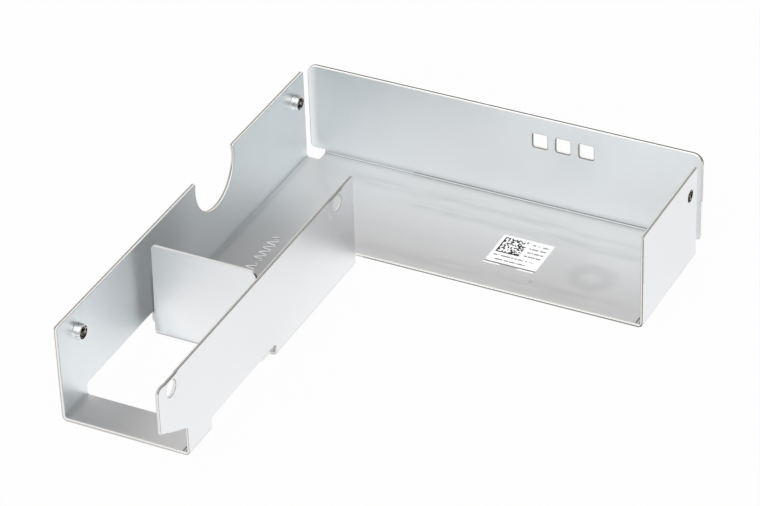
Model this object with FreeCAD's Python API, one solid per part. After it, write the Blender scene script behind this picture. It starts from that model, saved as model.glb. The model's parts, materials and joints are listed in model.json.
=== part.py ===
import FreeCAD, Part

# L-shaped adapter bracket that holds a small drive in a full-size drive bay.

# The bracket is one blank of zinc-plated sheet steel, pierced, drawn and folded.
# A channel runs away from the viewer, and a three-sided tray turns off its far
# end to the right. The small drive lies in the corner between the two, screwed
# to the channel's inner flange, and the tapped collars in the outer walls take
# the screws of the bay. A paper label lies on the tray's floor.

# Sizes are in millimetres. The bracket is drawn with its zero at the near left
# corner of the folded sheet: X runs across the bay, Y along the channel, Z up,
# and the floor's underside is at Z = 0. The finished pieces are moved so that
# the zero lies under the centre of the whole footprint.

import math
import os

from FreeCAD import Vector

# Sheet and folds
SHEET = 0.8
BEND_INNER = 0.5

# Plan: the drive lies beside the channel, and both together fill the bay
DRIVE_WIDTH = 69.85
CHANNEL_WIDTH = 31.75
TRAY_DEPTH = 36.4

# Tapped holes for the bay's side screws
BAY_SCREW_SPACING = 101.6
BAY_SCREW_HEIGHT = 19.05
BAY_SCREW_TO_TOP = 5.55
BAY_SCREW_TO_NEAR_END = 7.8
BAY_SCREW_TO_FAR_END = 5.3
BAY_SCREW_TO_TRAY_WALL_END = 4.1

# Clearance holes for the drive's side screws
DRIVE_SCREW_SPACING = 76.6
DRIVE_SCREW_TO_FLANGE_END = 8.3
DRIVE_SCREW_TO_EAR_END = 5.1
CLEARANCE_HOLE = 4.0
CLEARANCE_HOLE_TO_TOP = 0.4

# Low pads drawn around the clearance holes
PAD_LAND = 0.9
PAD_SLOPE = 1.6
PAD_RISE = 0.25

# Drawn and tapped collars around the tapped holes
THREAD_BORE = 2.5
COLLAR_WALL = 0.6
COLLAR_REACH = 1.7
COLLAR_ROOT = 0.6
BORE_ENTRY = 0.3
BORE_CHAMFER = 0.35

# Gaps and reliefs where folds meet
BACK_WALL_GAP = 3.3
BACK_WALL_SHORTFALL = 0.6
BACK_WALL_OVERHANG_GAP = 0.2
CORNER_RELIEF = 3.9
TRAY_RELIEF_WIDTH = 3.5
TRAY_RELIEF_DEPTH = 0.65

# Opening in the channel's floor, which also bites into the foot of both walls
NEAR_STRIP = 9.9
OPENING_LENGTH = 26.1
OPENING_RISE = 3.6
OPENING_CORNER = 1.1

# Stop tab, bent up at the far end of the opening and a little wider at its foot
TAB_LEFT_GAP = 2.8
TAB_FOOT_GAP = 2.25
TAB_RIGHT_GAP = 1.15
TAB_TOP_DROP = 0.1
TAB_RELIEF = 2.7
TAB_LEFT_CORNER = 1.0
TAB_RIGHT_CORNER = 2.0

# Ear of the inner flange, which reaches past the near end of the floor
EAR_ROOT_HEIGHT = 7.7
EAR_DEPTH = 11.25
EAR_TOP_CORNER = 1.7
EAR_LOWER_CORNER = 0.6

# Round notch in the left wall that lets a screwdriver reach the far drive screw
NOTCH_RADIUS = 9.1
NOTCH_TIP = 0.5

# Row of square windows in the back wall
WINDOW_COUNT = 3
WINDOW_SIZE = 3.7
WINDOW_BAR = 2.15
WINDOW_CORNER = 0.5
WINDOW_TO_TOP = 4.55
WINDOW_TO_FLANGE = 26.9

# Remaining corners of the blank
WALL_CORNER = 0.6
RELIEF_CORNER = 0.4
BACK_TOP_CORNER = 2.5
BACK_LOWER_CORNER = 1.0

# Paper label on the tray's floor
LABEL_WIDTH = 12.7
LABEL_DEPTH = 10.9
LABEL_THICKNESS = 0.1
LABEL_CORNER = 0.5
LABEL_TO_FLANGE = 26.55
LABEL_TO_TRAY_FRONT = 9.65

# Worked out from the sizes above
BEND_OUTER = BEND_INNER + SHEET
OVERSHOOT = 2 * SHEET
BAY_WIDTH = CHANNEL_WIDTH + DRIVE_WIDTH
WALL_HEIGHT = BAY_SCREW_HEIGHT + BAY_SCREW_TO_TOP
NEAR_BAY_SCREW_Y = BAY_SCREW_TO_NEAR_END
FAR_BAY_SCREW_Y = NEAR_BAY_SCREW_Y + BAY_SCREW_SPACING
LEFT_WALL_LENGTH = FAR_BAY_SCREW_Y + BAY_SCREW_TO_FAR_END
TRAY_WALL_END_Y = FAR_BAY_SCREW_Y + BAY_SCREW_TO_TRAY_WALL_END
BACK_INNER_Y = LEFT_WALL_LENGTH + BACK_WALL_GAP
BACK_OUTER_Y = BACK_INNER_Y + SHEET
TRAY_FRONT_Y = BACK_OUTER_Y - TRAY_DEPTH
FLANGE_END_Y = TRAY_FRONT_Y - TRAY_RELIEF_WIDTH
FAR_DRIVE_SCREW_Y = FLANGE_END_Y - DRIVE_SCREW_TO_FLANGE_END
NEAR_DRIVE_SCREW_Y = FAR_DRIVE_SCREW_Y - DRIVE_SCREW_SPACING
EAR_END_Y = NEAR_DRIVE_SCREW_Y - DRIVE_SCREW_TO_EAR_END
DRIVE_SCREW_DROP = CLEARANCE_HOLE / 2 + CLEARANCE_HOLE_TO_TOP
DRIVE_SCREW_HEIGHT = WALL_HEIGHT - DRIVE_SCREW_DROP
FLANGE_INNER_X = CHANNEL_WIDTH - SHEET
TAB_FRONT_Y = NEAR_STRIP + OPENING_LENGTH
OPENING_END_Y = TAB_FRONT_Y + BEND_OUTER + TAB_RELIEF


def rounded_face(outline, place):
    """Face inside a closed outline of straight sides with rounded corners.

    outline lists (u, v, corner radius), and place turns u and v into a Vector.
    """
    corners = [Vector(u, v, 0) for u, v, _ in outline]
    arcs = []
    for i, (_, _, radius) in enumerate(outline):
        back = (corners[i - 1] - corners[i]).normalize()
        ahead = (corners[(i + 1) % len(corners)] - corners[i]).normalize()
        half = back.getAngle(ahead) / 2
        setback = radius / math.tan(half)
        depth = radius / math.sin(half) - radius
        crown = corners[i] + (back + ahead).normalize() * depth
        arcs.append((corners[i] + back * setback, crown, corners[i] + ahead * setback))
    edges = []
    for i, (start, crown, end) in enumerate(arcs):
        if outline[i][2] > 0:
            edges.append(Part.Arc(*[place(p.x, p.y) for p in (start, crown, end)]).toShape())
        following = arcs[(i + 1) % len(arcs)][0]
        edges.append(Part.LineSegment(place(end.x, end.y), place(following.x, following.y)).toShape())
    return Part.Face(Part.Wire(edges))


def plate_across_x(outline, x_low, x_high):
    """Plate whose outline lies in Y and Z, from x_low to x_high."""
    face = rounded_face(outline, lambda y, z: Vector(x_low, y, z))
    return face.extrude(Vector(x_high - x_low, 0, 0))


def plate_across_y(outline, y_low, y_high):
    """Plate whose outline lies in X and Z, from y_low to y_high."""
    face = rounded_face(outline, lambda x, z: Vector(x, y_low, z))
    return face.extrude(Vector(0, y_high - y_low, 0))


def plate_across_z(outline, z_low, z_high):
    """Plate whose outline lies in X and Y, from z_low to z_high."""
    face = rounded_face(outline, lambda x, y: Vector(x, y, z_low))
    return face.extrude(Vector(0, 0, z_high - z_low))


def fold(start, outward, run):
    """Quarter-round fold from the floor up to a wall.

    start is the centre of the fold's radii at one end, outward points from the
    floor to the wall, and run is the vector along the fold.
    """
    down = Vector(0, 0, -1)
    slant = (outward + down).normalize()
    outer = Part.Arc(*[start + way * BEND_OUTER for way in (down, slant, outward)])
    inner = Part.Arc(*[start + way * BEND_INNER for way in (outward, slant, down)])
    at_wall = Part.LineSegment(start + outward * BEND_OUTER, start + outward * BEND_INNER)
    at_floor = Part.LineSegment(start + down * BEND_INNER, start + down * BEND_OUTER)
    edges = [curve.toShape() for curve in (outer, at_wall, inner, at_floor)]
    return Part.Face(Part.Wire(edges)).extrude(run)


def turned_about_x(curves, centre):
    """Solid turned about the line through centre along X from a closed profile."""
    wire = Part.Wire(Part.__sortEdges__([curve.toShape() for curve in curves]))
    return Part.Face(wire).revolve(centre, Vector(1, 0, 0), 360)


def floor():
    """Flat floor of the channel and the tray, up to the start of each fold."""
    left = BEND_OUTER
    flange = CHANNEL_WIDTH - BEND_OUTER
    relief = flange - TRAY_RELIEF_DEPTH
    right = BAY_WIDTH - BEND_OUTER
    right_corner = BAY_WIDTH - CORNER_RELIEF
    back = BACK_OUTER_Y - BEND_OUTER
    outline = [
        (left, 0, 0),
        (flange, 0, 0),
        (flange, FLANGE_END_Y, 0),
        (relief, FLANGE_END_Y, RELIEF_CORNER),
        (relief, TRAY_FRONT_Y, RELIEF_CORNER),
        (right, TRAY_FRONT_Y, 0),
        (right, TRAY_WALL_END_Y, 0),
        (right_corner, TRAY_WALL_END_Y, RELIEF_CORNER),
        (right_corner, back, 0),
        (CORNER_RELIEF, back, 0),
        (CORNER_RELIEF, LEFT_WALL_LENGTH, RELIEF_CORNER),
        (left, LEFT_WALL_LENGTH, 0),
    ]
    return plate_across_z(outline, 0, SHEET)


def folds():
    """The folds that join the floor to its four walls."""
    left = Vector(BEND_OUTER, 0, BEND_OUTER)
    flange = Vector(CHANNEL_WIDTH - BEND_OUTER, 0, BEND_OUTER)
    tray = Vector(BAY_WIDTH - BEND_OUTER, TRAY_FRONT_Y, BEND_OUTER)
    back = Vector(CORNER_RELIEF, BACK_OUTER_Y - BEND_OUTER, BEND_OUTER)
    return [
        fold(left, Vector(-1, 0, 0), Vector(0, LEFT_WALL_LENGTH, 0)),
        fold(flange, Vector(1, 0, 0), Vector(0, FLANGE_END_Y, 0)),
        fold(tray, Vector(1, 0, 0), Vector(0, TRAY_WALL_END_Y - TRAY_FRONT_Y, 0)),
        fold(back, Vector(0, 1, 0), Vector(BAY_WIDTH - 2 * CORNER_RELIEF, 0, 0)),
    ]


def left_wall():
    """Outer wall of the channel, with the round notch for the screwdriver."""
    outline = [
        (0, BEND_OUTER, 0),
        (LEFT_WALL_LENGTH, BEND_OUTER, 0),
        (LEFT_WALL_LENGTH, WALL_HEIGHT, WALL_CORNER),
        (0, WALL_HEIGHT, WALL_CORNER),
    ]
    start = Vector(-OVERSHOOT, FAR_DRIVE_SCREW_Y, DRIVE_SCREW_HEIGHT)
    notch = Part.makeCylinder(NOTCH_RADIUS, SHEET + 2 * OVERSHOOT, start, Vector(1, 0, 0))
    wall = plate_across_x(outline, 0, SHEET).cut(notch)
    half_mouth = math.sqrt(NOTCH_RADIUS ** 2 - DRIVE_SCREW_DROP ** 2)
    tips = []
    for edge in wall.Edges:
        middle = edge.CenterOfMass
        beside_mouth = abs(abs(middle.y - FAR_DRIVE_SCREW_Y) - half_mouth) < 0.001
        if beside_mouth and abs(middle.z - WALL_HEIGHT) < 0.001:
            tips.append(edge)
    return wall.makeFillet(NOTCH_TIP, tips)


def pad(y):
    """Low round pad, drawn outwards from the inner flange around one hole.

    Its flank is an S of two equal arcs, and the same curve shapes both faces.
    """
    land = CLEARANCE_HOLE / 2 + PAD_LAND
    rim = land + PAD_SLOPE
    middle = land + PAD_SLOPE / 2
    radius = (PAD_SLOPE ** 2 + PAD_RISE ** 2) / (4 * PAD_RISE)
    sag = radius - math.sqrt(radius ** 2 - (PAD_SLOPE / 4) ** 2)

    def at(x, distance):
        return Vector(x, y, DRIVE_SCREW_HEIGHT + distance)

    def flank(x):
        half_way = at(x + PAD_RISE / 2, middle)
        foot = Part.Arc(at(x, rim), at(x + sag, rim - PAD_SLOPE / 4), half_way)
        brow = Part.Arc(half_way, at(x + PAD_RISE - sag, land + PAD_SLOPE / 4), at(x + PAD_RISE, land))
        flat = Part.LineSegment(at(x + PAD_RISE, land), at(x + PAD_RISE, 0))
        return [foot, brow, flat]

    outside = Part.LineSegment(at(FLANGE_INNER_X, rim), at(CHANNEL_WIDTH, rim))
    axis = Part.LineSegment(at(FLANGE_INNER_X + PAD_RISE, 0), at(CHANNEL_WIDTH + PAD_RISE, 0))
    curves = flank(FLANGE_INNER_X) + flank(CHANNEL_WIDTH) + [outside, axis]
    return turned_about_x(curves, at(0, 0)), rim


def inner_flange():
    """Inner wall of the channel with its ear, and two pads with clearance holes."""
    outline = [
        (0, BEND_OUTER, 0),
        (FLANGE_END_Y, BEND_OUTER, 0),
        (FLANGE_END_Y, WALL_HEIGHT, WALL_CORNER),
        (EAR_END_Y, WALL_HEIGHT, EAR_TOP_CORNER),
        (EAR_END_Y, WALL_HEIGHT - EAR_DEPTH, EAR_LOWER_CORNER),
        (0, EAR_ROOT_HEIGHT, RELIEF_CORNER),
    ]
    flange = plate_across_x(outline, FLANGE_INNER_X, CHANNEL_WIDTH)
    inside_outline = plate_across_x(outline, FLANGE_INNER_X - OVERSHOOT, CHANNEL_WIDTH + OVERSHOOT)
    length = SHEET + 2 * OVERSHOOT
    for y in (NEAR_DRIVE_SCREW_Y, FAR_DRIVE_SCREW_Y):
        start = Vector(FLANGE_INNER_X - OVERSHOOT, y, DRIVE_SCREW_HEIGHT)
        drawn, rim = pad(y)
        flange = flange.cut(Part.makeCylinder(rim, length, start, Vector(1, 0, 0)))
        flange = flange.fuse(drawn.common(inside_outline))
        flange = flange.cut(Part.makeCylinder(CLEARANCE_HOLE / 2, length, start, Vector(1, 0, 0)))
    return flange


def tray_wall():
    """Right-hand wall of the tray."""
    outline = [
        (TRAY_FRONT_Y, BEND_OUTER, 0),
        (TRAY_WALL_END_Y, BEND_OUTER, 0),
        (TRAY_WALL_END_Y, WALL_HEIGHT, WALL_CORNER),
        (TRAY_FRONT_Y, WALL_HEIGHT, WALL_CORNER),
    ]
    return plate_across_x(outline, BAY_WIDTH - SHEET, BAY_WIDTH)


def window(x):
    """Cutter for one square window of the back wall, centred at x."""
    half = WINDOW_SIZE / 2
    high = WALL_HEIGHT - WINDOW_TO_TOP
    outline = [
        (x - half, high - WINDOW_SIZE, WINDOW_CORNER),
        (x + half, high - WINDOW_SIZE, WINDOW_CORNER),
        (x + half, high, WINDOW_CORNER),
        (x - half, high, WINDOW_CORNER),
    ]
    return plate_across_y(outline, BACK_INNER_Y - OVERSHOOT, BACK_OUTER_Y + OVERSHOOT)


def back_wall():
    """Long back wall, whose ends overhang the fold, with its row of windows."""
    right = BAY_WIDTH - BACK_WALL_SHORTFALL
    right_corner = BAY_WIDTH - CORNER_RELIEF
    overhang = BEND_OUTER + BACK_WALL_OVERHANG_GAP
    outline = [
        (CORNER_RELIEF, BEND_OUTER, 0),
        (right_corner, BEND_OUTER, 0),
        (right_corner, overhang, 0),
        (right, overhang, BACK_LOWER_CORNER),
        (right, WALL_HEIGHT, BACK_TOP_CORNER),
        (0, WALL_HEIGHT, BACK_TOP_CORNER),
        (0, overhang, BACK_LOWER_CORNER),
        (CORNER_RELIEF, overhang, 0),
    ]
    wall = plate_across_y(outline, BACK_INNER_Y, BACK_OUTER_Y)
    first = CHANNEL_WIDTH + WINDOW_TO_FLANGE + WINDOW_SIZE / 2
    for i in range(WINDOW_COUNT):
        wall = wall.cut(window(first + i * (WINDOW_SIZE + WINDOW_BAR)))
    return wall


def floor_opening():
    """Cutter for the opening in the channel's floor and in the foot of its walls."""
    outline = [
        (NEAR_STRIP, -OVERSHOOT, 0),
        (OPENING_END_Y, -OVERSHOOT, 0),
        (OPENING_END_Y, OPENING_RISE, OPENING_CORNER),
        (NEAR_STRIP, OPENING_RISE, OPENING_CORNER),
    ]
    return plate_across_x(outline, -OVERSHOOT, CHANNEL_WIDTH + OVERSHOOT)


def stop_tab():
    """Tab bent up at the far end of the opening, with its fold and its tongue."""
    foot = SHEET + TAB_FOOT_GAP
    right = FLANGE_INNER_X - TAB_RIGHT_GAP
    top = WALL_HEIGHT - TAB_TOP_DROP
    outline = [
        (foot, BEND_OUTER, 0),
        (right, BEND_OUTER, 0),
        (right, top, TAB_RIGHT_CORNER),
        (SHEET + TAB_LEFT_GAP, top, TAB_LEFT_CORNER),
    ]
    upright = plate_across_y(outline, TAB_FRONT_Y, TAB_FRONT_Y + SHEET)
    width = right - foot
    bend = fold(Vector(foot, TAB_FRONT_Y + BEND_OUTER, BEND_OUTER), Vector(0, -1, 0), Vector(width, 0, 0))
    tongue = Part.makeBox(width, TAB_RELIEF, SHEET, Vector(foot, TAB_FRONT_Y + BEND_OUTER, 0))
    return [upright, bend, tongue]


def collar(outer_x, inward, y):
    """Drawn collar on one wall, and the cutter for its bore.

    outer_x is the wall's outer face, and inward is 1 or -1 along X from there.
    The collar flares into the wall on a quarter round, and the bore has a
    rounded entry outside and a countersink at the tip.
    """
    centre = Vector(outer_x, y, BAY_SCREW_HEIGHT)

    def at(depth, distance):
        return centre + Vector(inward * depth, 0, distance)

    def chain(*pieces):
        return [Part.Arc(*piece) if len(piece) == 3 else Part.LineSegment(*piece) for piece in pieces]

    rounding = 1 - math.sqrt(0.5)
    bore = THREAD_BORE / 2
    barrel = bore + COLLAR_WALL
    root = barrel + COLLAR_ROOT
    tip = SHEET + COLLAR_REACH
    embedded = SHEET / 2
    flare_middle = at(SHEET + COLLAR_ROOT * rounding, barrel + COLLAR_ROOT * rounding)
    flare_end = at(SHEET + COLLAR_ROOT, barrel)
    body = chain(
        (at(embedded, 0), at(embedded, root)),
        (at(embedded, root), at(SHEET, root)),
        (at(SHEET, root), flare_middle, flare_end),
        (flare_end, at(tip, barrel)),
        (at(tip, barrel), at(tip, 0)),
        (at(tip, 0), at(embedded, 0)),
    )
    entry = bore + BORE_ENTRY
    entry_middle = at(BORE_ENTRY * rounding, bore + BORE_ENTRY * rounding)
    countersink = bore + BORE_CHAMFER
    hole = chain(
        (at(-OVERSHOOT, 0), at(-OVERSHOOT, entry)),
        (at(-OVERSHOOT, entry), at(0, entry)),
        (at(0, entry), entry_middle, at(BORE_ENTRY, bore)),
        (at(BORE_ENTRY, bore), at(tip - BORE_CHAMFER, bore)),
        (at(tip - BORE_CHAMFER, bore), at(tip, countersink)),
        (at(tip, countersink), at(tip + OVERSHOOT, countersink)),
        (at(tip + OVERSHOOT, countersink), at(tip + OVERSHOOT, 0)),
        (at(tip + OVERSHOOT, 0), at(-OVERSHOOT, 0)),
    )
    return turned_about_x(body, centre), turned_about_x(hole, centre)


def folded_bracket():
    """The whole folded sheet as one solid."""
    sheet = floor().multiFuse(folds() + [left_wall(), inner_flange(), tray_wall(), back_wall()])
    sheet = sheet.cut(floor_opening())
    sheet = sheet.multiFuse(stop_tab())
    places = (
        (0, 1, NEAR_BAY_SCREW_Y),
        (0, 1, FAR_BAY_SCREW_Y),
        (BAY_WIDTH, -1, FAR_BAY_SCREW_Y),
    )
    for outer_x, inward, y in places:
        body, hole = collar(outer_x, inward, y)
        sheet = sheet.fuse(body).cut(hole)
    return sheet.removeSplitter()


def label():
    """Paper label, face to face with the tray's floor."""
    left = CHANNEL_WIDTH + LABEL_TO_FLANGE
    front = TRAY_FRONT_Y + LABEL_TO_TRAY_FRONT
    outline = [
        (left, front, LABEL_CORNER),
        (left + LABEL_WIDTH, front, LABEL_CORNER),
        (left + LABEL_WIDTH, front + LABEL_DEPTH, LABEL_CORNER),
        (left, front + LABEL_DEPTH, LABEL_CORNER),
    ]
    return plate_across_z(outline, SHEET, SHEET + LABEL_THICKNESS)


def main():
    """Build both pieces, put the zero under their middle and write them."""
    os.makedirs("parts", exist_ok=True)
    middle = Vector(BAY_WIDTH / 2, (EAR_END_Y + BACK_OUTER_Y) / 2, 0)
    for name, shape in (("folded_bracket", folded_bracket()), ("label", label())):
        shape.translate(-middle)
        shape.exportStep("parts/%s.step" % name)
        print("%s: %d solid, volume %.1f cubic mm" % (name, len(shape.Solids), shape.Volume))


main()
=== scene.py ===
"""Drive bay adapter bracket: folded zinc-plated sheet, tapped collars and a paper label.

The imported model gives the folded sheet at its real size. This script softens the
rims of its cut edges, cuts real threads into the three collars, unrolls the sheet
back to its flat blank so that the rolling grain follows every fold, and lays the
printed label on the tray. All lengths are in metres.
"""

import json
import logging
import math
from collections.abc import Callable
from dataclasses import dataclass
from enum import Enum

import bmesh
import bpy
import numpy as np
from mathutils import Matrix, Vector

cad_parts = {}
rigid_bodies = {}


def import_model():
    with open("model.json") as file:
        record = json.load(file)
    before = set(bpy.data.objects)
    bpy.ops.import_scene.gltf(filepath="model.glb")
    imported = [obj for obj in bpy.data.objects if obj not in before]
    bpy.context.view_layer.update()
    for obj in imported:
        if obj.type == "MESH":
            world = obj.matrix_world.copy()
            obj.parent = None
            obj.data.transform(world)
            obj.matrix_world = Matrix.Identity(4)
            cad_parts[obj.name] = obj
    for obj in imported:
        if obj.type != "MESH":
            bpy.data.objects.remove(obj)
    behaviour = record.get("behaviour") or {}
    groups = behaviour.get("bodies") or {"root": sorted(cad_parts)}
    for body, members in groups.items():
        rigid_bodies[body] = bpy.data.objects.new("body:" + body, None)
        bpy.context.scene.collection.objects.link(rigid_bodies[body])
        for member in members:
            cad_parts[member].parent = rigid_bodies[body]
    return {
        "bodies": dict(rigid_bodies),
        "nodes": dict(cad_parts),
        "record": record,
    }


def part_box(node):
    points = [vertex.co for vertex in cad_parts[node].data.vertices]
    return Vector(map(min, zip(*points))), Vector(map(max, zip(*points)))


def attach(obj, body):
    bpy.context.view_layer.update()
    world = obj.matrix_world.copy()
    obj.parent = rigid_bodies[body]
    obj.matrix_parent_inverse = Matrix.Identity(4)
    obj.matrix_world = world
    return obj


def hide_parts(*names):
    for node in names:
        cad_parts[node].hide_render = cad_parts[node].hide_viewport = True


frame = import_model()

MM = 0.001
MICRON = 1e-6
BODY = "root"

log = logging.getLogger("bracket_scene")

Number = float | int
Pair = tuple[float, float]
Point = tuple[float, float, float]
Colour = tuple[float, float, float, float]
Operand = "Field | Number"
Array = np.ndarray
Form = bmesh.types.BMesh
Mesh = bpy.types.Mesh
Items = bpy.types.bpy_prop_collection
Material = bpy.types.Material
Object = bpy.types.Object
Node = bpy.types.Node
Socket = bpy.types.NodeSocket

WHITE: Colour = (1.0, 1.0, 1.0, 1.0)
BLACK: Colour = (0.0, 0.0, 0.0, 1.0)


def operator(operation: str, reflected: bool = False) -> Callable[..., "Field"]:
    """A method of Field that adds one Math node; reflected puts the field last, as in 1 - field."""
    def method(field: "Field", *others: Operand) -> "Field":
        """Add the node for a field and the other values."""
        values = (*others, field) if reflected else (field, *others)
        return field.graph.maths(operation, *values)
    return method


class Field:
    """A number that varies over a surface; arithmetic on it adds Math nodes."""

    def __init__(self, graph: "Graph", socket: Socket) -> None:
        """Wrap one output socket of a graph."""
        self.graph = graph
        self.socket = socket

    __add__ = operator("ADD")
    __radd__ = operator("ADD", reflected=True)
    __sub__ = operator("SUBTRACT")
    __rsub__ = operator("SUBTRACT", reflected=True)
    __mul__ = operator("MULTIPLY")
    __rmul__ = operator("MULTIPLY", reflected=True)
    __truediv__ = operator("DIVIDE")
    __rtruediv__ = operator("DIVIDE", reflected=True)
    __pow__ = operator("POWER")
    __rpow__ = operator("POWER", reflected=True)
    __gt__ = operator("GREATER_THAN")
    __lt__ = operator("LESS_THAN")
    __abs__ = operator("ABSOLUTE")
    floor = operator("FLOOR")
    root = operator("SQRT")

    def within(self, span: Pair) -> "Field":
        """One between the ends of a span, and zero outside."""
        return (self > span[0]) * (self < span[1])

    def ease(self, low: Operand, high: Operand) -> "Field":
        """Smooth step, from 0 at low to 1 at high."""
        settings = {"interpolation_type": "SMOOTHSTEP"}
        inputs = {"Value": self, "From Min": low, "From Max": high}
        return self.graph.value("ShaderNodeMapRange", "Result", settings, inputs)

    def fade(self, low: Operand, high: Operand) -> "Field":
        """One up to a distance low from zero, and a smooth fall to 0 at the distance high."""
        return 1 - abs(self).ease(low, high)


class Graph:
    """A node tree that is being wired, for a material or for the world."""

    def __init__(self, tree: bpy.types.NodeTree) -> None:
        """Take a tree and empty it."""
        self.tree = tree
        tree.nodes.clear()

    def node(self, kind: str, settings: dict | None = None, inputs: dict | None = None) -> Node:
        """Add one node.

        Args:
            kind: the node's type, such as ShaderNodeTexNoise.
            settings: the node's own properties, which are set first.
            inputs: values, fields or sockets by the name or place of the input.

        Returns:
            The new node.
        """
        made = self.tree.nodes.new(kind)
        for name, value in (settings or {}).items():
            setattr(made, name, value)
        for name, value in (inputs or {}).items():
            self.feed(self.socket(made.inputs, name), value)
        return made

    def socket(self, sockets: Items, name: str | int) -> Socket:
        """Find a live socket by its name, or by its place where names repeat."""
        if isinstance(name, int):
            return sockets[name]
        return next(s for s in sockets if s.name == name and s.enabled)

    def feed(self, socket: Socket, value: object) -> None:
        """Link a field or a socket into an input, or set the input's value."""
        if isinstance(value, Field):
            value = value.socket
        if isinstance(value, Socket):
            self.tree.links.new(value, socket)
        else:
            socket.default_value = value

    def value(self, kind: str, output: str | int, settings: dict, inputs: dict) -> Field:
        """Add a node and wrap one of its number outputs."""
        return Field(self, self.socket(self.node(kind, settings, inputs).outputs, output))

    def maths(self, operation: str, *values: Operand) -> Field:
        """Add a Math node for one operation."""
        return self.value("ShaderNodeMath", 0, {"operation": operation}, dict(enumerate(values)))

    def most(self, first: Field, *others: Operand) -> Field:
        """The greatest of several fields."""
        for other in others:
            first = self.maths("MAXIMUM", first, other)
        return first

    def split(self, vector: Socket) -> tuple[Field, Field, Field]:
        """The three parts of a vector."""
        made = self.node("ShaderNodeSeparateXYZ", None, {"Vector": vector})
        return tuple(Field(self, out) for out in made.outputs)

    def place(self) -> Socket:
        """Object coordinates."""
        return self.node("ShaderNodeTexCoord").outputs["Object"]

    def normal(self) -> tuple[Field, Field, Field]:
        """The three parts of the surface's normal."""
        return self.split(self.node("ShaderNodeNewGeometry").outputs["Normal"])

    def uv(self, name: str) -> Socket:
        """Coordinates from one UV map."""
        return self.node("ShaderNodeUVMap", {"uv_map": name}).outputs["UV"]

    def ray(self, kind: str) -> Field:
        """One for rays of one kind, such as Camera, and zero for others."""
        return Field(self, self.node("ShaderNodeLightPath").outputs[f"Is {kind} Ray"])

    def map(self, space: Socket, centre: Point, size: Point) -> Socket:
        """Coordinates counted from a centre, in units of a size along each axis."""
        inputs = {"Vector": space, "Location": centre, "Scale": size}
        return self.node("ShaderNodeMapping", {"vector_type": "TEXTURE"}, inputs).outputs["Vector"]

    def plan(self, space: Socket, centre: Pair, size: Pair) -> tuple[Field, Field]:
        """The first two coordinates, counted from a centre in units of a size."""
        return self.split(self.map(space, (*centre, 0.0), (*size, 1.0)))[:2]

    def noise(self, space: Socket, size: Point | float, detail: float = 2.0) -> Field:
        """Cloudy noise about 0, within half a unit either way, whose blobs have the given size."""
        size = (size,) * 3 if isinstance(size, float) else size
        inputs = {"Vector": self.map(space, (0.0, 0.0, 0.0), size), "Scale": 1.0,
                  "Detail": detail, "Roughness": 0.5}
        return self.value("ShaderNodeTexNoise", "Fac", {"noise_dimensions": "3D"}, inputs) - 0.5

    def chance(self, seed: Field) -> Field:
        """A random number from 0 to 1 for each value of a seed."""
        settings = {"noise_dimensions": "1D"}
        return self.value("ShaderNodeTexWhiteNoise", "Value", settings, {"W": seed})

    def mix(self, colour: object, *coats: tuple[object, object]) -> Socket:
        """Lay coats over a colour in turn, each a share and a colour with alpha or a socket."""
        for share, coat in coats:
            made = self.node("ShaderNodeMix", {"data_type": "RGBA"},
                             {"Factor": share, "A": colour, "B": coat})
            colour = self.socket(made.outputs, "Result")
        return colour

    def bump(self, height: Field) -> Socket:
        """Normal of a surface with a height in metres."""
        inputs = {"Height": height, "Distance": 1.0, "Strength": 1.0}
        return self.node("ShaderNodeBump", None, inputs).outputs["Normal"]

    def principled(self, inputs: dict) -> None:
        """Close a material with the Principled shader."""
        shader = self.node("ShaderNodeBsdfPrincipled", None, inputs)
        self.node("ShaderNodeOutputMaterial", None, {"Surface": shader.outputs["BSDF"]})


def srgb(red: int, green: int, blue: int) -> Colour:
    """Linear colour, with alpha, for a colour written in steps of 255."""
    parts = (red / 255, green / 255, blue / 255)
    linear = [c / 12.92 if c <= 0.04045 else ((c + 0.055) / 1.055) ** 2.4 for c in parts]
    return (*linear, 1.0)


def new_material(name: str) -> tuple[Material, Graph]:
    """A material with an empty graph."""
    material = bpy.data.materials.new(name)
    material.use_nodes = True
    return material, Graph(material.node_tree)


def show(mesh: Mesh, name: str, *materials: Material) -> Object:
    """Put a mesh into the scene as an object at the origin, with its materials."""
    for material in materials:
        mesh.materials.append(material)
    piece = bpy.data.objects.new(name, mesh)
    bpy.context.scene.collection.objects.link(piece)
    return piece


def vectors(items: Items, name: str) -> Array:
    """One vector for each item of a mesh, one row each."""
    flat = np.empty(len(items) * 3)
    items.foreach_get(name, flat)
    return flat.reshape(-1, 3)


def numbers(items: Items, name: str) -> Array:
    """One whole number for each item of a mesh."""
    flat = np.empty(len(items), int)
    items.foreach_get(name, flat)
    return flat


def ring_faces(rows: int, columns: int) -> Array:
    """Quads of a grid whose columns close into a ring, with vertices numbered row by row."""
    row, column = np.meshgrid(np.arange(rows - 1), np.arange(columns), indexing="ij")
    after = (column + 1) % columns
    corners = (row * columns + column, row * columns + after,
               (row + 1) * columns + after, (row + 1) * columns + column)
    return np.stack([corner.ravel() for corner in corners], axis=1)


class Wall(Enum):
    """The walls that stand up from the blank."""

    LEFT = "left wall"
    FLANGE = "inner flange"
    TRAY = "tray wall"
    BACK = "back wall"
    TAB = "stop tab"


class Area(Enum):
    """What a face of the sheet is, with its number in the UV map cut."""

    FLOOR = -1.0
    WALL = 0.0
    WALL_CUT = 1.0
    FLOOR_CUT = 2.0
    COLLAR = 3.0


class Slot(Enum):
    """The places of the sheet's materials."""

    PLATE = 0
    THREAD = 1


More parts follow.
